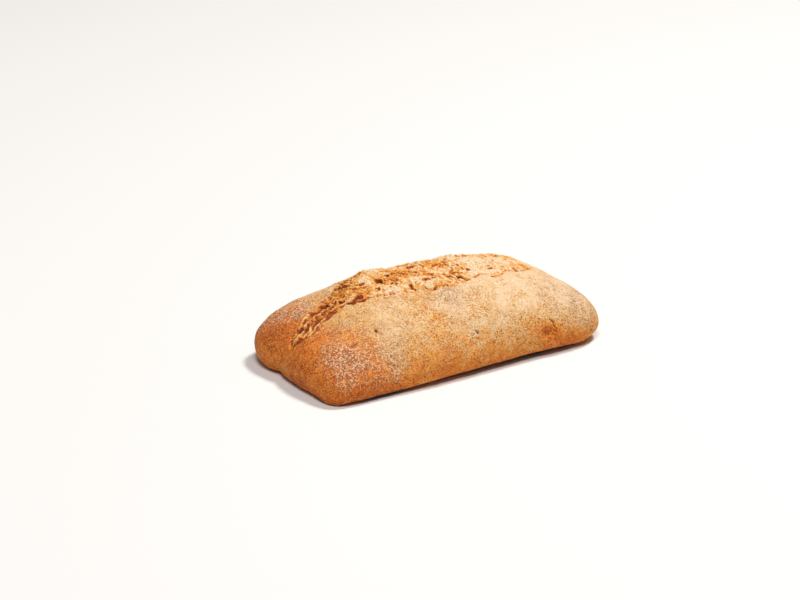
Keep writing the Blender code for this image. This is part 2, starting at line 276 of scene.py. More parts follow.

# Short cracks and pin holes of the crust: from x, y, z to x, y, z, radius, depth, and darkness of the
# painted shade in them
SCORES = (
    ((0.0011, -0.0487, 0.0276), (0.0028, -0.0508, 0.0245), 0.0007, 0.0008, 0.9),
    ((-0.0675, -0.0360, 0.0375), (-0.0668, -0.0362, 0.0373), 0.0011, 0.0022, 1.0),
    ((0.0630, -0.0495, 0.0222), (0.0654, -0.0506, 0.0198), 0.0007, 0.0008, 0.9),
    ((0.0654, -0.0506, 0.0198), (0.0658, -0.0519, 0.0172), 0.0007, 0.0008, 0.8),
    ((0.0760, -0.0318, 0.0361), (0.0802, -0.0349, 0.0334), 0.0008, 0.0008, 0.7),
    ((-0.0183, -0.0428, 0.0345), (-0.0165, -0.0467, 0.0306), 0.0008, 0.0006, 0.5),
    ((-0.0880, -0.0385, 0.0310), (-0.0830, -0.0380, 0.0335), 0.0010, 0.0008, 0.6),
    ((-0.0790, -0.0395, 0.0335), (-0.0765, -0.0395, 0.0345), 0.0009, 0.0006, 0.5),
)

# Small knobs and larger mounds, which set the painted shade of the torn dough: how often the surface is
# smoothed to find them, the height in metres that counts as 1, and how far each smoothing moves a vertex to
# its neighbours
KNOB_ROUNDS = 5
KNOB_HEIGHT = 0.0003
MOUND_ROUNDS = 60
MOUND_HEIGHT = 0.0015
SMOOTHING = 0.6

# Flour on the crust, from 0 to 1, and bake of the crust and of the torn dough, from 0 for pale to 1 for
# dark brown, and above 1, up to the highest value, for burnt crust and for painted shade at the foot's rim
# and in the deepest hollows. Each has a plain value, noises (strength, size in metres, seed) and eased steps
# (strength, and for each axis where the step begins and where it is full).
X, Y, Z = 0, 1, 2
FLOUR = 0.24
FLOUR_NOISES = ((0.30, 0.022, 41.0), (0.18, 0.007, 43.0))
FLOUR_STEPS = ((-0.50, ((Z, 0.016, 0.002),)),)
CRUST_BAKE = 0.68
CRUST_NOISES = ((0.16, 0.030, 45.0), (0.12, 0.009, 47.0))
# The steps make the crust paler towards the top and the +X top, and darker near the foot and towards the -X
# end.
CRUST_STEPS = (
    (-0.42, ((Z, 0.004, 0.038),)),
    (0.10, ((Z, 0.010, 0.000),)),
    (0.12, ((X, -0.040, -0.090),)),
    (0.16, ((X, -0.078, -0.104), (Z, 0.010, 0.024))),
    (-0.20, ((X, -0.020, 0.080), (Z, 0.018, 0.042))),
)
DOUGH_BAKE = 0.42
DOUGH_NOISES = ((0.40, 0.016, 49.0),)
DOUGH_STEPS = (
    (0.33, ((X, -0.030, -0.075),)),
    (-0.30, ((X, -0.010, 0.040),)),
    (-0.08, ((Y, 0.006, 0.024), (X, -0.075, -0.060), (X, 0.010, -0.010))),
    (-0.08, ((X, -0.080, -0.094),)),
)
DARKEST = 1.5

# Painted shade: at the rim of the foot, in the low gap under the tuck and partly a darker baked underside,
# with its height and where along x it begins and is full, and in the hollows of the seam, with the depth at
# which they are full
RIM_SHADE_AND_BAKE = 1.0
RIM_HEIGHT = (0.0030, 0.0012)
RIM_RUN = (-0.100, -0.070)
CAVE_SHADE = 0.26
CAVE_FULL = 0.0016

# Where flour lies and where the crust is baked darker: x, y, z, radius, flour, bake
PATCHES = (
    (-0.0900, -0.0460, 0.0240, 0.0260, 0.30, 0.12),
    (-0.0780, -0.0320, 0.0350, 0.0280, 0.24, 0.12),
    (-0.1000, -0.0250, 0.0280, 0.0160, 0.00, 0.12),
    (-0.0960, 0.0360, 0.0320, 0.0260, 0.66, 0.32),
    (-0.0300, -0.0290, 0.0440, 0.0160, 0.16, 0.08),
    (-0.0850, 0.0150, 0.0360, 0.0160, 0.35, 0.26),
    (-0.1080, 0.0180, 0.0220, 0.0160, -0.30, 0.30),
    (-0.0020, -0.0250, 0.0450, 0.0130, 0.55, -0.10),
    (-0.0170, -0.0470, 0.0300, 0.0150, 0.10, 0.24),
    (0.0160, -0.0340, 0.0400, 0.0100, 0.05, 0.19),
    (-0.0110, -0.0170, 0.0480, 0.0080, 0.40, 0.25),
    (0.0970, -0.0400, 0.0200, 0.0260, 0.50, -0.28),
    (0.0750, -0.0200, 0.0400, 0.0260, 0.25, 0.15),
    (-0.0600, -0.0570, 0.0120, 0.0150, 0.10, -0.08),
    (-0.1120, -0.0100, 0.0190, 0.0130, -0.30, 0.24),
    (-0.0950, -0.0490, 0.0200, 0.0150, 0.05, 0.22),
    (0.0870, -0.0500, 0.0050, 0.0120, -0.10, 0.14),
    (0.0200, -0.0500, 0.0250, 0.0320, 0.10, -0.05),
    (0.0560, -0.0535, 0.0145, 0.0035, -0.50, 0.20),
    (0.0610, -0.0535, 0.0140, 0.0040, -0.90, 0.32),
    (0.0660, -0.0530, 0.0145, 0.0035, -0.40, 0.25),
    (-0.1140, -0.0250, 0.0060, 0.0220, -0.60, -0.06),
    (-0.1130, 0.0220, 0.0100, 0.0220, -0.60, -0.26),
    (-0.1000, -0.0360, 0.0280, 0.0140, 0.20, 0.10),
    (-0.1060, -0.0520, 0.0040, 0.0100, 0.10, 0.12),
    (-0.0660, -0.0450, 0.0315, 0.0120, 0.25, -0.14),
    (-0.0925, -0.0145, 0.0345, 0.0090, 0.05, 0.18),
    (0.0465, -0.0365, 0.0375, 0.0150, -0.34, 0.12),
)

# Where the torn dough is browner or paler: x, y, z, radius, bake
SCORCHED = (
    (-0.0474, -0.0040, 0.0490, 0.0070, -0.20),
    (-0.0370, -0.0060, 0.0500, 0.0050, -0.12),
    (-0.0223, 0.0127, 0.0530, 0.0090, 0.06),
    (-0.0120, -0.0060, 0.0526, 0.0070, -0.28),
    (-0.0480, 0.0120, 0.0496, 0.0080, -0.18),
    (0.0100, 0.0060, 0.0540, 0.0100, 0.10),
    (-0.0500, 0.0260, 0.0480, 0.0050, 0.20),
    (0.0070, 0.0120, 0.0540, 0.0070, 0.34),
    (0.0150, 0.0100, 0.0540, 0.0060, 0.24),
    (0.0540, 0.0150, 0.0480, 0.0080, 0.25),
    (0.0680, 0.0180, 0.0440, 0.0070, 0.22),
    (0.0770, 0.0020, 0.0410, 0.0060, 0.20),
    (0.0350, -0.0080, 0.0500, 0.0110, -0.16),
    (0.0480, 0.0020, 0.0490, 0.0100, -0.08),
    (-0.1000, 0.0020, 0.0300, 0.0050, -0.35),
    (-0.0630, 0.0020, 0.0450, 0.0040, -0.25),
)

# Noises and grains of the colours: size in metres, and for the two main noises detail and roughness
FINE = (0.0011, 2.0, 0.65)
MEDIUM = (0.0038, 3.0, 0.6)
BROAD_SIZE = 0.009
PATCHY_SIZE = 0.012
GRIT_AND_SHADE_SIZE = 0.00065
SPECK_SIZE = 0.0008
PORE_SIZE = 0.0018

# Spans of the crust: the first two numbers are a range of a noise or mask, and the next two, or else 0
# and 1, what its ends become. How rough it is, how its tone varies, and where dark grit shows, which is
# partly painted shade between the crust's grains.
ROUGH_PATCHY = (0.35, 0.65, 0.65, 1.2)
ROUGH_BAKE = (0.0, 0.40, 0.45, 1.0)
ROUGH_FLOUR = (0.3, 0.8, 0.45, 1.0)
TONE_MEDIUM = (0.32, 0.68, -0.11, 0.11)
TONE_FINE = (0.40, 0.60, 0.08, -0.08)
GRIT_AND_SHADE_JITTER = (0.35, 0.65, 0.15, -0.15)
GRIT_AND_SHADE_SHOWS = (0.42, 0.92)

# Spans of the flour: how its cover varies, the share of grains that are floury, their jitter and soft
# edge, how strong they are, and the haze of fine flour between them
COVER_MEDIUM = (0.32, 0.68, -0.10, 0.10)
GRAIN_SHARE = (0.0, 1.0, 0.15, 0.40)
GRAIN_JITTER = (0.35, 0.65, -0.15, 0.15)
GRAIN_EDGE = 0.10
GRAIN_STRENGTH = (0.0, 1.0, 0.36, 0.62)
HAZE_STRENGTH = (0.20, 0.85, 0.0, 0.58)

# Spans of the torn dough: painted shade, browner in hollows and on steep sides than on knobs and mounds,
# uneven tone, grit that is painted light and shade, and pores darkened with painted shade
DOUGH_KNOB_SHADE = (0.9, -0.9, -0.18, 0.24)
DOUGH_MOUND_SHADE = (0.8, -0.9, -0.22, 0.36)
DOUGH_STEEP_SHADE = (0.02, 0.35, 0.0, 0.28)
DOUGH_MEDIUM = (0.32, 0.68, -0.20, 0.18)
DOUGH_BROAD = (0.35, 0.65, -0.12, 0.12)
DOUGH_FINE = (0.40, 0.60, 0.06, -0.06)
DOUGH_GRIT_LIGHT_AND_SHADE = (0.0, 1.0, 1.16, 0.82)
PORE_REACH = (0.34, 0.18)
PORE_SHARE = 0.36
PORE_SHADE_STRENGTH = 0.60

# Spans of the border between crust and torn dough, of what is burnt and what lies in painted shade
# at the foot's rim and in deep hollows, and of the painted shade in the cracks
BORDER_JITTER = (0.3, 0.7, -0.25, 0.25)
BORDER = (0.40, 0.60)
BURNT_AND_SHADE_SPAN = (1.0, DARKEST)
CRACK_SHADE_SPAN = (0.2, 0.9)

# Colours, red, green and blue from 0 to 255 as a screen shows them, after the tone or the cover that
# they stand for where there are several. The grit's, which is partly painted shade between the grains, is a
# linear colour that the crust's is multiplied by.
CRUST_COLOURS = (
    (0.00, (238, 214, 184)),
    (0.18, (240, 206, 166)),
    (0.36, (231, 188, 131)),
    (0.55, (233, 159, 73)),
    (0.75, (228, 126, 37)),
    (1.00, (191, 93, 27)),
)
DOUGH_COLOURS = (
    (0.05, (236, 208, 174)),
    (0.25, (232, 192, 140)),
    (0.45, (232, 168, 84)),
    (0.65, (218, 138, 48)),
    (0.85, (190, 102, 36)),
    (1.00, (140, 62, 22)),
)
GRAIN_COLOURS = ((0.15, (254, 194, 106)), (0.70, (255, 223, 184)))
HAZE_COLOUR = (158, 104, 56)
PORE_SHADE_COLOUR = (112, 54, 22)
BURNT_AND_SHADE_COLOUR = (64, 28, 12)
CRACK_SHADE_COLOUR = (84, 38, 14)
GRIT_AND_SHADE_TINT = (0.52, 0.31, 0.12, 1.0)
NO_TINT = (1.0, 1.0, 1.0, 1.0)

# The surface: roughness, highlights, and the height in metres and strength of each bump
ROUGHNESS = 0.78
HIGHLIGHT = 0.28
FINE_BUMP = (0.00070, 1.0)
MEDIUM_BUMP = (0.0006, 0.7)
GRAIN_BUMP = (0.00035, 0.8)

# The camera, placed against the loaf: position, turn about X, Y and Z in degrees, focal length in mm
CAMERA_AT = (-1.0333, -1.4986, 0.692)
CAMERA_ANGLES = (70.144, -0.955, -33.575)
CAMERA_LENS = 130.5
CAMERA_NEAR = 0.05

# The floor, half its side in metres, its colour and roughness, and the light that comes from all round
FLOOR_HALF = 4.0
FLOOR_COLOUR = (0.80, 0.79, 0.78, 1.0)
FLOOR_ROUGHNESS = 0.9
SKY_COLOUR = (1.0, 1.0, 1.0, 1.0)
SKY_STRENGTH = 0.14

# The lamps: name, place, side of the shining square in metres, power in watts, colour, and where all aim
LAMPS = (
    ("key", (1.36, 0.13, 2.80), 0.66, 76.0, (1.0, 0.97, 0.93)),
    ("fill", (-1.20, -1.50, 3.60), 1.3, 90.0, (1.0, 1.0, 1.0)),
)
LAMP_AIM = (0.0, 0.0, 0.02)


def smooth(low, high, value):
    """0 at low, 1 at high, with an eased step between them."""
    t = np.clip((value - low) / (high - low), 0.0, 1.0)
    return t * t * (3.0 - 2.0 * t)


def spline(rows, column, x):
    """Smooth curve through one column of a table whose first column is x."""
    table = np.array(rows)
    knots, values = table[:, 0], table[:, column]
    slopes = np.gradient(values, knots)
    i = np.clip(np.searchsorted(knots, x) - 1, 0, len(knots) - 2)
    span = knots[i + 1] - knots[i]
    t = np.clip((x - knots[i]) / span, 0.0, 1.0)
    rise = values[i + 1] - values[i]
    start = slopes[i] * span - rise
    end = rise - slopes[i + 1] * span
    return values[i] + rise * t + t * (1.0 - t) * (start * (1.0 - t) + end * t)


def wave(places, size, seed=0.0):
    """Smooth noise from -1 to 1 with lumps of about that size in metres, along each axis or all."""
    scaled = places / np.array(size) + seed
    return np.array([noise.noise(Vector(place)) for place in scaled])


def cells(places, size, seed=0.0):
    """Distance to the border of a place's cell and to its centre, in cell sizes, and the cell's own draw."""
    scaled = places / np.array(size) + seed
    border, middle, draw = [], [], []
    for place in scaled:
        distances, centres = noise.voronoi(Vector(place))
        border.append(distances[1] - distances[0])
        middle.append(distances[0])
        draw.append(noise.cell(centres[0] * DRAW_STEP))
    return np.array(border), np.array(middle), np.array(draw)


def open_box(counts):
    """Points and quads of a cube's surface from -1 to 1, without its underside and with longer sides."""
    index = {}
    points = []
    quads = []

    def corner(key):
        if key not in index:
            index[key] = len(points)
            points.append([2.0 * k / n - 1.0 for k, n in zip(key, counts)])
        return index[key]

    for axis, side in ((0, 0), (0, 1), (1, 0), (1, 1), (2, 1)):
        u_axis, v_axis = (axis + 1) % 3, (axis + 2) % 3
        for u in range(counts[u_axis]):
            for v in range(counts[v_axis]):
                ring = []
                for du, dv in ((0, 0), (1, 0), (1, 1), (0, 1)):
                    key = [0, 0, 0]
                    key[axis] = side * counts[axis]
                    key[u_axis] = u + du
                    key[v_axis] = v + dv
                    ring.append(corner(tuple(key)))
                quads.append(ring if side else ring[::-1])
    points = np.array(points)
    points[:, 2] = 1.0 - SIDE_DEPTH * (1.0 - points[:, 2])
    return points, quads


def loaf_form(p):
    """The loaf's smooth form, from points on the cube."""
    x, y, z = p.T
    corner = smooth(*CORNER_REACH, -x) * smooth(*CORNER_REACH, -y) * smooth(*CORNER_DROP, z)
    plan_power = PLAN_POWER + PLAN_CHANGE * x + CORNER_POWER * corner
    rise_power = np.where(z > 0.0, DOME_POWER + DOME_CHANGE * x, BELLY_POWER)
    plan = (np.abs(x) ** plan_power + np.abs(y) ** plan_power) ** (1.0 / plan_power)
    reach = (plan**rise_power + np.abs(z) ** rise_power) ** (1.0 / rise_power)
    u, v, w = x / reach, y / reach, z / reach
    width = HALF_WIDTH * (1.0 - LEFT_TAPER * u + END_SPREAD * u * u)
    dome = DOME * (1.0 + DOME_FALL[0] * u + DOME_FALL[1] * u**2 + DOME_FALL[2] * u**3)
    lean = np.where(u < 0.0, END_LEAN[0], END_LEAN[1]) * u * u
    along = HALF_LENGTH * u + lean * w
    across = width * v + RIDGE_SHIFT * np.clip(w, 0.0, 1.0)
    height = WIDEST_Z + np.where(w > 0.0, dome, BELLY) * w
    return np.stack([along, across, height], 1)


def tilted(q):
    """Turned about the foot of the -X end, so that the +X end stands higher."""
    x, y, z = q.T
    return np.stack([x - TILT * z, y, z + TILT * (x + HALF_LENGTH)], 1)


def seam_run(x, fade):
    """1 along the seam, and 0 past its ends, with a fade of its own length at each end."""
    start, end = SEAM_ENDS
    return smooth(start, start + fade[0], x) * smooth(end, end - fade[1], x)


def seam_place(q, top):
    """Place across the seam, from -1 at its front lip to 1 at its back one, half width, and 1 inside."""
    x, y = q[:, 0], q[:, 1]
    front = spline(SEAM, 1, x)
    back = spline(SEAM, 2, x)
    ragged = JAG * wave(q, JAG_SIZE, 3.0) + FRAY * wave(q, FRAY_SIZE)
    ragged *= smooth(0.0, SEAM_HALF_WIDTH, back - front)
    front += ragged
    back += ragged
    half = np.maximum((back - front) / 2.0, NARROWEST)
    across = (y - (front + back) / 2.0) / half
    inside = smooth(-LIP_STEP, LIP_STEP, half * (1.0 - np.abs(across))) * top * seam_run(x, SEAM_FADE)
    return across, half, inside


def torn_relief(q, across):
    """Relief of the torn dough in the seam's open part, lower along the ridge at its back lip."""
    drift = np.stack([wave(q, DRIFT_SIZE, seed) for seed in DRIFT_SEEDS], 1)
    skew = q + DRIFT * drift
    level = SCRAP_LEVELS * wave(skew, SCRAP_SIZE)
    step = np.floor(level) + smooth(*SCRAP_EDGE, level - np.floor(level))
    fold = 1.0 - FOLD_SHARPNESS * np.abs(wave(skew + FOLD_SKEW * q[:, [1, 0, 2]], FOLD_SIZE, 5.0))
    craggy = smooth(*CRAGGY_SPAN, wave(q, CRAGGY_SIZE, 9.0) + CRAGGY_LEAN * across)
    craggy = CRAGGY_LEAST + (1.0 - CRAGGY_LEAST) * craggy
    border, middle, _ = cells(skew, CRAG_SIZE, 7.0)
    crag = smooth(*CRAG_EDGE, border) - middle
    _, middle, draw = cells(skew, PIT_SIZE, 2.0)
    pit = (draw < PIT_SHARE) * smooth(*PIT_EDGE, middle)
    rough = SCRAP * step + FOLD * fold + CRAG * crag * craggy - PIT * pit
    return rough * (1.0 - RIDGE_CALM * smooth(*RIDGE_SPAN, across))


def cave_depth(q):
    """Depth of the hollows torn open in the seam, with ragged edges."""
    x = q[:, 0] + CAVE_RAGGED * wave(q, CAVE_RAGGED_SIZE, 6.0)
    y = q[:, 1] + CAVE_RAGGED * wave(q, CAVE_RAGGED_SIZE, 8.0)
    total = np.zeros(len(q))
    for cave_x, cave_y, reach_x, reach_y, depth in CAVES:
        gap = np.hypot((x - cave_x) / reach_x, (y - cave_y) / reach_y)
        total += depth * smooth(*CAVE_EDGE, gap)
    return total


def relief(q, normal):
    """Height to add along the normal of the smooth form, and 0 to 1 for torn dough."""
    x, y, z = q.T
    top = smooth(0.0, FACING_UP, normal[:, 2] + END_HELP * smooth(*END_RUN, x))
    across, half, inside = seam_place(q, top)
    wide = smooth(*WIDE_SPAN, half / SEAM_HALF_WIDTH)
    cleft = (1.0 - wide) * smooth(CLEFT_END, CLEFT_END - CLEFT_FADE, x)
    bow = np.clip(1.0 - across**2, 0.0, 1.0)
    lift = inside * (SEAM_RISE * wide * bow**RISE_POWER - CLEFT_DEPTH * cleft * bow)
    lift += inside * (CLEFT_RELIEF + (1.0 - CLEFT_RELIEF) * wide) * torn_relief(q, across)
    strand = np.cos(STRAND_COUNT * across + STRAND_SWAY * wave(q, STRAND_SIZE, 4.0))
    lift += inside * STRAND * strand * cleft * bow

    to_lip = (1.0 - np.abs(across)) * half
    lips = top * seam_run(x, LIP_FADE)
    open_lip = spline(SEAM, 3, x) * (LIP_LEAST + LIP_CHANGE * np.abs(wave(q, LIP_SIZE, 1.0)))
    lift -= LIP_GROOVE * open_lip * lips * np.exp(-((to_lip / LIP_WIDTH) ** 2))
    curl = np.exp(-(((to_lip + CURL_PLACE) / CURL_WIDTH) ** 2))
    lift += LIP_CURL * curl * lips * smooth(*CURL_RUN, x)
    lift -= cave_depth(q) * top

    for (start_x, start_y), (end_x, end_y), half_width, height in STRANDS:
        run_x, run_y = end_x - start_x, end_y - start_y
        t = np.clip(((x - start_x) * run_x + (y - start_y) * run_y) / (run_x**2 + run_y**2), 0.0, 1.0)
        gap = np.hypot(x - start_x - t * run_x, y - start_y - t * run_y) / half_width
        lift += height * np.exp(-(gap**2)) * top

    crease_y = CREASE_Y + CREASE_LEAN * np.clip(CREASE_TOP - z, 0.0, 1.0)
    crease = np.exp(-(np.abs((y - crease_y) / CREASE_WIDTH) ** CREASE_POWER))
    crease *= smooth(*CREASE_RUN, x)
    crease *= smooth(CREASE_TOP + CREASE_FADE[0], CREASE_TOP + CREASE_FADE[1], z)
    lift -= CREASE_DEPTH * crease * (CREASE_FOOT + (1.0 - CREASE_FOOT) * smooth(0.0, CREASE_FOOT_HEIGHT, z))
    for lump_x, lump_y, lump_z, radius, height in LUMPS:
        gap = ((x - lump_x) ** 2 + (y - lump_y) ** 2 + (z - lump_z) ** 2) / radius**2
        lift += height * np.exp(-gap)
    lift += SWELL * wave(q, SWELL_SIZE, 11.0)
    lift += RIPPLE * (1.0 - inside) * wave(q, RIPPLE_SIZE, 5.0)
    return lift, inside


def tucked(q, normal):
    """Drawn in level near the foot, which leaves a low gap under the rim."""
    x, _, z = q.T
    level = z + TILT * (x + HALF_LENGTH)
    start, full, fade, end = FOOT_RUN
    height = np.full(len(q), FOOT_HEIGHT)
    for near, far, drop in FOOT_STEPS:
        height *= 1.0 - drop * smooth(near, far, x)
    tuck = FOOT_TUCK * smooth(start, full, x) * smooth(end, fade, x) * smooth(height, 0.0, level)
    outward = normal[:, :2] / np.maximum(np.hypot(normal[:, 0], normal[:, 1]), 1e-6)[:, None]
    return np.column_stack([q[:, :2] - tuck[:, None] * outward, z])


def to_segment(q, start, end):
    """Distance from each place to a straight segment."""
    start, end = np.array(start), np.array(end)
    along = end - start
    t = np.clip(((q - start) @ along) / (along @ along), 0.0, 1.0)
    return np.linalg.norm(q - start - t[:, None] * along, axis=1)


def vertex_values(mesh, name):
    """A mesh's vertex places, "co", or normals, "normal", as one row a vertex."""
    values = np.empty(len(mesh.vertices) * 3, np.float32)
    mesh.vertices.foreach_get(name, values)
    return values.reshape(-1, 3).astype(float)


def set_attribute(mesh, name, values):
    """Stores one number a vertex under a name that the material reads."""
    mesh.attributes.new(name, "FLOAT", "POINT").data.foreach_set("value", values.astype(np.float32))


def refine(mesh):
    """Splits the faces round the seam and the cracks once, so that their cells are half as large."""
    q = vertex_values(mesh, "co")
    x, y, z = q.T
    wanted = (spline(SEAM, 1, x) - SPLIT_BEYOND < y) & (y < spline(SEAM, 2, x) + SPLIT_BEYOND)
    wanted &= (z > SPLIT_ABOVE) & (x < SPLIT_END)
    for start, end, _, _, _ in SCORES:
        wanted |= to_segment(q, start, end) < SPLIT_NEAR
    fine = bmesh.new()
    fine.from_mesh(mesh)
    edges = [edge for edge in fine.edges if wanted[edge.verts[0].index] and wanted[edge.verts[1].index]]
    bmesh.ops.subdivide_edges(fine, edges=edges, cuts=1, use_grid_fill=True)
    fine.to_mesh(mesh)
    fine.free()


def fine_relief(q, inside):
    """What the fine surface adds to the solid's relief, and 0 to 1 for painted shade in its cracks and
    holes.
    """
    lift = BLISTER * (1.0 - inside) * wave(q, BLISTER_SIZE, 21.0)
    border, middle, _ = cells(q, CRUMB_SIZE, 31.0)
    lift += CRUMB * inside * (smooth(*CRAG_EDGE, border) - middle)
    crack_shade = np.zeros(len(q))
    warped = q + WAVER * np.stack([wave(q, WAVER_SIZE, seed) for seed in WAVER_SEEDS], 1)
    for start, end, radius, depth, darkness in SCORES:
        near = np.exp(-((to_segment(warped, start, end) / radius) ** 2))
        lift -= depth * near
        crack_shade = np.maximum(crack_shade, darkness * near)
    return lift, crack_shade


def knobbiness(mesh, shape, normals, rounds):
    """How far each vertex stands above the surface smoothed that many times, in metres."""
    ends = np.empty(len(mesh.edges) * 2, np.int32)
    mesh.edges.foreach_get("vertices", ends)
    a, b = ends.reshape(-1, 2).T
    count = len(shape)
    degree = np.bincount(a, minlength=count) + np.bincount(b, minlength=count)
    level = shape.copy()
    for _ in range(rounds):
        total = np.stack(
            [
                np.bincount(a, level[b, axis], count) + np.bincount(b, level[a, axis], count)
                for axis in range(3)
            ],
            1,
        )
        level = (1.0 - SMOOTHING) * level + SMOOTHING * total / degree[:, None]
    return ((shape - level) * normals).sum(1)


def spots(q, rows, column):
    """Sum of soft round spots, each as strong as its row's column says: x, y, z, radius, strengths."""
    total = np.zeros(len(q))
    for row in rows:
        gap = ((q - np.array(row[:3])) ** 2).sum(1) / row[3] ** 2
        total += row[column] * np.exp(-gap)
    return total


def uneven(q, plain, noises, steps):
    """A plain value, changed by noises and by eased steps along the axes."""
    total = np.full(len(q), plain)
    for strength, runs in steps:
        change = np.full(len(q), strength)
        for axis, start, full in runs:
            change *= smooth(start, full, q[:, axis])
        total += change
    for strength, size, seed in noises:
        total += strength * wave(q, size, seed)
    return total


def flour_bake_and_shade(q, inside):
    """Flour, and bake of crust and torn dough with painted shade at the foot's rim and in the seam's
    hollows.
    """
    flour = uneven(q, FLOUR, FLOUR_NOISES, FLOUR_STEPS) + spots(q, PATCHES, 4)
    crust = uneven(q, CRUST_BAKE, CRUST_NOISES, CRUST_STEPS) + spots(q, PATCHES, 5)
    # Painted shade at the foot's rim, in the low gap under the tuck, partly a darker baked underside.
    height = q[:, Z] + TILT * (q[:, X] + HALF_LENGTH)
    crust += RIM_SHADE_AND_BAKE * smooth(*RIM_HEIGHT, height) * smooth(*RIM_RUN, q[:, X])
    dough = uneven(q, DOUGH_BAKE, DOUGH_NOISES, DOUGH_STEPS) + spots(q, SCORCHED, 4)
    # Painted shade in the seam's hollows, darker where they are deeper.
    dough += CAVE_SHADE * smooth(0.0, CAVE_FULL, cave_depth(q))
    bake_and_shade = crust * (1.0 - inside) + dough * inside
    return np.clip(flour, 0.0, 1.0), np.clip(bake_and_shade, 0.0, DARKEST)


def flatten_foot(mesh):
    """Cuts the loaf level at z = 0 and closes it with one flat face."""
    whole = bmesh.new()
    whole.from_mesh(mesh)
    parts = whole.verts[:] + whole.edges[:] + whole.faces[:]
    cut = bmesh.ops.bisect_plane(
        whole, geom=parts, dist=1e-6, plane_co=(0, 0, 0), plane_no=(0, 0, -1), clear_outer=True
    )
    rim = [item for item in cut["geom_cut"] if isinstance(item, bmesh.types.BMEdge)]
    bmesh.ops.contextual_create(whole, geom=rim)
    bmesh.ops.recalc_face_normals(whole, faces=whole.faces[:])
    whole.to_mesh(mesh)
    whole.free()


def build_loaf():
    """The loaf where the solid stands, and how far it was moved to get there."""
    points, quads = open_box(FINE_GRID)
    mesh = bpy.data.meshes.new("loaf")
    mesh.from_pydata(loaf_form(points).tolist(), [], quads)
    refine(mesh)
    form = vertex_values(mesh, "co")
    normals = vertex_values(mesh, "normal")
    lift, inside = relief(form, normals)
    fine_lift, crack_shade = fine_relief(form, inside)
    shape = tilted(tucked(form + normals * (lift + fine_lift)[:, None], normals))
    flour, bake_and_shade = flour_bake_and_shade(form, inside)
    set_attribute(mesh, "torn", inside)
    set_attribute(mesh, "crack_shade", crack_shade)
    set_attribute(mesh, "flour", flour)
    set_attribute(mesh, "bake_and_shade", bake_and_shade)
    # Knobs and mounds set the painted shade of the torn dough, browner in its hollows.
    set_attribute(mesh, "knob", knobbiness(mesh, shape, normals, KNOB_ROUNDS) / KNOB_HEIGHT)
    set_attribute(mesh, "mound", knobbiness(mesh, shape, normals, MOUND_ROUNDS) / MOUND_HEIGHT)

    middle = (shape.min(0) + shape.max(0)) / 2.0
    shift = np.array([middle[0], middle[1], 0.0])
    mesh.vertices.foreach_set("co", (shape - shift).ravel())
    mesh.update()
    # How far the relief tilts the surface, which sets painted shade on the torn dough's steep sides.
    set_attribute(mesh, "steep", 1.0 - (vertex_values(mesh, "normal") * normals).sum(1))
    flatten_foot(mesh)
    for face in mesh.polygons:
        face.use_smooth = True
    loaf = bpy.data.objects.new("loaf", mesh)
    bpy.context.scene.collection.objects.link(loaf)
    return loaf, shift


def srgb(red, green, blue):
    """Linear colour from the three values 0 to 255 that a screen shows."""
    levels = np.array([red, green, blue]) / 255.0
    linear = np.where(levels <= 0.04045, levels / 12.92, ((levels + 0.055) / 1.055) ** 2.4)
    return (*linear.tolist(), 1.0)


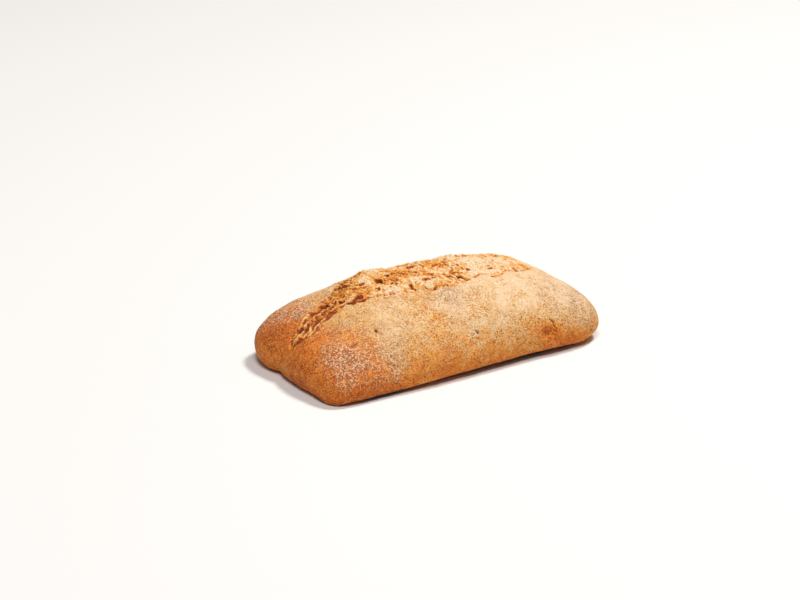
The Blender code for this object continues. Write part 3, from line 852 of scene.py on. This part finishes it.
class Shader:
    """A material's node tree, with short calls for the nodes used here."""

    def __init__(self, name):
        self.material = bpy.data.materials.new(name)
        self.material.use_nodes = True
        self.tree = self.material.node_tree
        self.surface = self.tree.nodes["Principled BSDF"]
        self.place = self.tree.nodes.new("ShaderNodeTexCoord").outputs["Object"]

    def set(self, socket, value):
        """Links the socket to another node's output, or gives it a constant."""
        if isinstance(value, bpy.types.NodeSocket):
            self.tree.links.new(value, socket)
        else:
            socket.default_value = value

    def mask(self, name):
        """A number that the mesh holds for each vertex."""
        node = self.tree.nodes.new("ShaderNodeAttribute")
        node.attribute_name = name
        return node.outputs["Fac"]

    def math(self, operation, first, second):
        """The result of one operation on two values."""
        node = self.tree.nodes.new("ShaderNodeMath")
        node.operation = operation
        self.set(node.inputs[0], first)
        self.set(node.inputs[1], second)
        return node.outputs[0]

    def add(self, first, *others):
        """Sum of all the values."""
        total = first
        for other in others:
            total = self.math("ADD", total, other)
        return total

    def times(self, first, second):
        """Product of two values."""
        return self.math("MULTIPLY", first, second)

    def span(self, value, low, high, to_low=0.0, to_high=1.0):
        """The value's place between low and high, eased and clamped, as a number from to_low to to_high."""
        node = self.tree.nodes.new("ShaderNodeMapRange")
        node.interpolation_type = "SMOOTHSTEP"
        for socket, given in zip(node.inputs, (value, low, high, to_low, to_high)):
            self.set(socket, given)
        return node.outputs[0]

    def noise(self, size, detail=2.0, roughness=0.5):
        """Noise from 0 to 1 with lumps of about that size in metres."""
        node = self.tree.nodes.new("ShaderNodeTexNoise")
        node.inputs["Scale"].default_value = 1.0 / size
        node.inputs["Detail"].default_value = detail
        node.inputs["Roughness"].default_value = roughness
        self.set(node.inputs["Vector"], self.place)
        return node.outputs["Fac"]

    def grains(self, size):
        """Distance to the nearest grain's middle, in cell sizes, and that grain's own draw from 0 to 1."""
        node = self.tree.nodes.new("ShaderNodeTexVoronoi")
        node.inputs["Scale"].default_value = 1.0 / size
        self.set(node.inputs["Vector"], self.place)
        split = self.tree.nodes.new("ShaderNodeSeparateColor")
        self.set(split.inputs[0], node.outputs["Color"])
        return node.outputs["Distance"], split.outputs[0]

    def blend(self, share, first, second, mode="MIX"):
        """The first colour with that share of the second."""
        node = self.tree.nodes.new("ShaderNodeMix")
        node.data_type = "RGBA"
        node.blend_type = mode
        self.set(node.inputs[0], share)
        self.set(node.inputs[6], first)
        self.set(node.inputs[7], second)
        return node.outputs[2]

    def ramp(self, value, stops):
        """The colour that stands for the value between the stops' colours."""
        node = self.tree.nodes.new("ShaderNodeValToRGB")
        elements = node.color_ramp.elements
        while len(elements) < len(stops):
            elements.new(0.5)
        for element, (position, colour) in zip(elements, stops):
            element.position = position
            element.color = srgb(*colour)
        self.set(node.inputs[0], value)
        return node.outputs[0]

    def bump(self, height, distance, strength, normal=None):
        """A normal that shows the height as relief, on top of another normal."""
        node = self.tree.nodes.new("ShaderNodeBump")
        node.inputs["Distance"].default_value = distance
        node.inputs["Strength"].default_value = strength
        self.set(node.inputs["Height"], height)
        if normal:
            self.set(node.inputs["Normal"], normal)
        return node.outputs[0]


def crust_colour(shader, bake_and_shade, fine, medium, grit_and_shade):
    """Colour of the floured crust, and how much each place is covered by a grain of flour."""
    flour = shader.mask("flour")
    rough = shader.math("MAXIMUM", shader.span(bake_and_shade, *ROUGH_BAKE), shader.span(flour, *ROUGH_FLOUR))
    rough = shader.times(rough, shader.span(shader.noise(PATCHY_SIZE), *ROUGH_PATCHY))
    tone = shader.add(bake_and_shade, shader.span(medium, *TONE_MEDIUM))
    tone = shader.add(tone, shader.times(shader.span(fine, *TONE_FINE), rough))
    crust = shader.ramp(tone, CRUST_COLOURS)
    # Dark grit specks, partly painted shade between the crust's grains.
    jittered = shader.add(grit_and_shade, shader.span(fine, *GRIT_AND_SHADE_JITTER))
    tint = shader.blend(shader.times(shader.span(jittered, *GRIT_AND_SHADE_SHOWS), rough), NO_TINT, GRIT_AND_SHADE_TINT)
    crust = shader.blend(1.0, crust, tint, "MULTIPLY")

    cover = shader.add(flour, shader.span(medium, *COVER_MEDIUM))
    haze = shader.times(shader.span(cover, *HAZE_STRENGTH), rough)
    crust = shader.blend(haze, crust, srgb(*HAZE_COLOUR))
    share = shader.span(cover, *GRAIN_SHARE)
    draw = shader.add(shader.grains(SPECK_SIZE)[1], shader.span(fine, *GRAIN_JITTER))
    grain = shader.span(draw, shader.add(share, GRAIN_EDGE), share)
    grain = shader.times(grain, shader.span(cover, *GRAIN_STRENGTH))
    return shader.blend(grain, crust, shader.ramp(cover, GRAIN_COLOURS)), grain


def dough_colour(shader, bake_and_shade, fine, medium, grit_and_shade):
    """Colour of the torn dough, with painted shade in its hollows, on its steep sides and in its pores."""
    # Painted shade: browner in hollows and on steep sides than on knobs and mounds.
    knob = shader.span(shader.mask("knob"), *DOUGH_KNOB_SHADE)
    mound = shader.span(shader.mask("mound"), *DOUGH_MOUND_SHADE)
    tone = shader.add(
        bake_and_shade,
        shader.add(knob, mound),
        shader.span(shader.mask("steep"), *DOUGH_STEEP_SHADE),
        shader.span(medium, *DOUGH_MEDIUM),
        shader.span(shader.noise(BROAD_SIZE), *DOUGH_BROAD),
        shader.span(fine, *DOUGH_FINE),
    )
    dough = shader.ramp(tone, DOUGH_COLOURS)
    # Pores, darkened with painted shade.
    distance, draw = shader.grains(PORE_SIZE)
    pores = shader.times(shader.span(distance, *PORE_REACH), shader.math("LESS_THAN", draw, PORE_SHARE))
    dough = shader.blend(shader.times(pores, PORE_SHADE_STRENGTH), dough, srgb(*PORE_SHADE_COLOUR))
    # Grit specks, painted light and shade that lighten and darken the dough.
    return shader.blend(1.0, dough, shader.span(grit_and_shade, *DOUGH_GRIT_LIGHT_AND_SHADE), "MULTIPLY")


def crust_material():
    """The one material of the loaf: crust and flour outside the seam, torn dough inside it."""
    shader = Shader("crust")
    bake_and_shade = shader.mask("bake_and_shade")
    fine, medium = shader.noise(*FINE), shader.noise(*MEDIUM)
    # Specks of grit, partly painted light and shade.
    grit_and_shade = shader.grains(GRIT_AND_SHADE_SIZE)[1]
    crust, grain = crust_colour(shader, bake_and_shade, fine, medium, grit_and_shade)
    dough = dough_colour(shader, bake_and_shade, fine, medium, grit_and_shade)

    border = shader.add(shader.mask("torn"), shader.span(medium, *BORDER_JITTER))
    colour = shader.blend(shader.span(border, *BORDER), crust, dough)
    # Burnt crust, and painted shade where the foot's rim and the deepest hollows reach past 1.
    colour = shader.blend(shader.span(bake_and_shade, *BURNT_AND_SHADE_SPAN), colour, srgb(*BURNT_AND_SHADE_COLOUR))
    # Painted shade in the cracks and pin holes.
    colour = shader.blend(shader.span(shader.mask("crack_shade"), *CRACK_SHADE_SPAN), colour, srgb(*CRACK_SHADE_COLOUR))
    shader.set(shader.surface.inputs["Base Color"], colour)
    shader.surface.inputs["Roughness"].default_value = ROUGHNESS
    shader.surface.inputs["Specular IOR Level"].default_value = HIGHLIGHT

    normal = shader.bump(fine, *FINE_BUMP)
    normal = shader.bump(medium, *MEDIUM_BUMP, normal)
    normal = shader.bump(grain, *GRAIN_BUMP, normal)
    shader.set(shader.surface.inputs["Normal"], normal)
    return shader.material


def area_light(name, place, size, power, colour):
    """A square lamp that shines from its place on the loaf."""
    data = bpy.data.lights.new(name, "AREA")
    data.size = size
    data.energy = power
    data.color = colour
    light = bpy.data.objects.new(name, data)
    light.location = place
    light.rotation_euler = (Vector(LAMP_AIM) - Vector(place)).to_track_quat("-Z", "Y").to_euler()
    bpy.context.scene.collection.objects.link(light)


def build_camera(shift):
    """The photo's view of the loaf, moved with it."""
    data = bpy.data.cameras.new("camera")
    data.lens = CAMERA_LENS
    data.clip_start = CAMERA_NEAR
    camera = bpy.data.objects.new("camera", data)
    camera.location = Vector(CAMERA_AT) - Vector(shift)
    camera.rotation_euler = [math.radians(angle) for angle in CAMERA_ANGLES]
    bpy.context.scene.collection.objects.link(camera)
    bpy.context.scene.camera = camera


def build_stage():
    """The plain pale floor, which isn't part of the object."""
    mesh = bpy.data.meshes.new("floor")
    corners = [(FLOOR_HALF * x, FLOOR_HALF * y, 0.0) for x, y in ((-1, -1), (1, -1), (1, 1), (-1, 1))]
    mesh.from_pydata(corners, [], [(0, 1, 2, 3)])
    floor = bpy.data.objects.new("floor", mesh)
    bpy.context.scene.collection.objects.link(floor)
    shader = Shader("floor")
    shader.surface.inputs["Base Color"].default_value = FLOOR_COLOUR
    shader.surface.inputs["Roughness"].default_value = FLOOR_ROUGHNESS
    mesh.materials.append(shader.material)


def build_light():
    """A soft white light all round, and the lamps."""
    world = bpy.data.worlds.new("world")
    world.use_nodes = True
    background = world.node_tree.nodes["Background"]
    background.inputs["Color"].default_value = SKY_COLOUR
    background.inputs["Strength"].default_value = SKY_STRENGTH
    bpy.context.scene.world = world
    for lamp in LAMPS:
        area_light(*lamp)
    bpy.context.scene.view_settings.view_transform = "Standard"


loaf, shift = build_loaf()
loaf.data.materials.append(crust_material())
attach(loaf, "root")
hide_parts("ciabatta")
build_camera(shift)
build_stage()
build_light()
